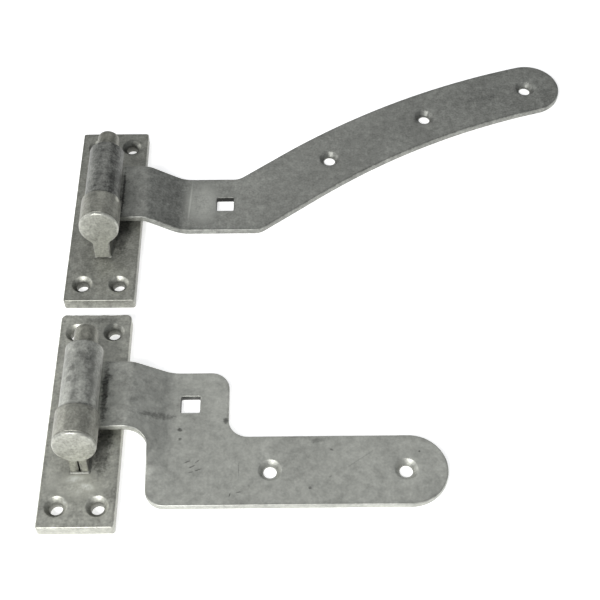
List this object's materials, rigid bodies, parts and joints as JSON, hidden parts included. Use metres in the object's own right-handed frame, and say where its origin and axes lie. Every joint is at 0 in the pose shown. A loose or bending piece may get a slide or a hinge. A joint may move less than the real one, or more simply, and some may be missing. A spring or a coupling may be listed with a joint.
{
  "type": "gate hinge set",
  "caption": "Galvanised lift-off gate hinges: cranked bands rolled onto pins on post plates, one band with a curved arm for a curved rail, one with a straight set-down arm.",
  "frame": {"origin": "middle of the upper plate's back face, at the centre of its four holes", "axes": "+X from the post across the closed gate, +Y up the post along the common pin axis, +Z out of the post's face"},
  "size_m": [0.3909, 0.4248, 0.0531],
  "materials": {
    "post_plate": "hot-dip galvanised, mottled matt grey",
    "pin": "hot-dip galvanised, darker grey",
    "collar": "hot-dip galvanised, mottled grey",
    "weld": "zinc over weld, rough, light grey",
    "upper_band": "hot-dip galvanised, mottled mid grey, bluish near the eye",
    "lower_band": "hot-dip galvanised, light grey with stains"
  },
  "bodies": {
    "upper_hook": {"upper_post_plate": "post_plate", "upper_pin": "pin", "upper_pin_collar": "collar", "upper_pin_weld": "weld", "upper_foot_weld": "weld", "upper_back_weld": "weld"},
    "upper_band": {"upper_band": "upper_band"},
    "lower_hook": {"lower_post_plate": "post_plate", "lower_pin": "pin", "lower_pin_collar": "collar", "lower_pin_weld": "weld", "lower_foot_weld": "weld", "lower_back_weld": "weld"},
    "lower_band": {"lower_band": "lower_band"}
  },
  "joints": [
    {"name": "upper_band_swing", "type": "hinge", "parent": "upper_hook", "child": "upper_band", "pos_m": [0, 0.0117, 0.0385], "axis": [0, -1, 0], "range_deg": [0, 180]},
    {"name": "lower_hook_spacing", "type": "slide", "parent": "upper_hook", "child": "lower_hook", "axis": [0, -1, 0], "range_m": [0, 0.8]},
    {"name": "lower_band_swing", "type": "hinge", "parent": "lower_hook", "child": "lower_band", "pos_m": [0, -0.1686, 0.0385], "axis": [0, -1, 0], "range_deg": [0, 180]}
  ]
}
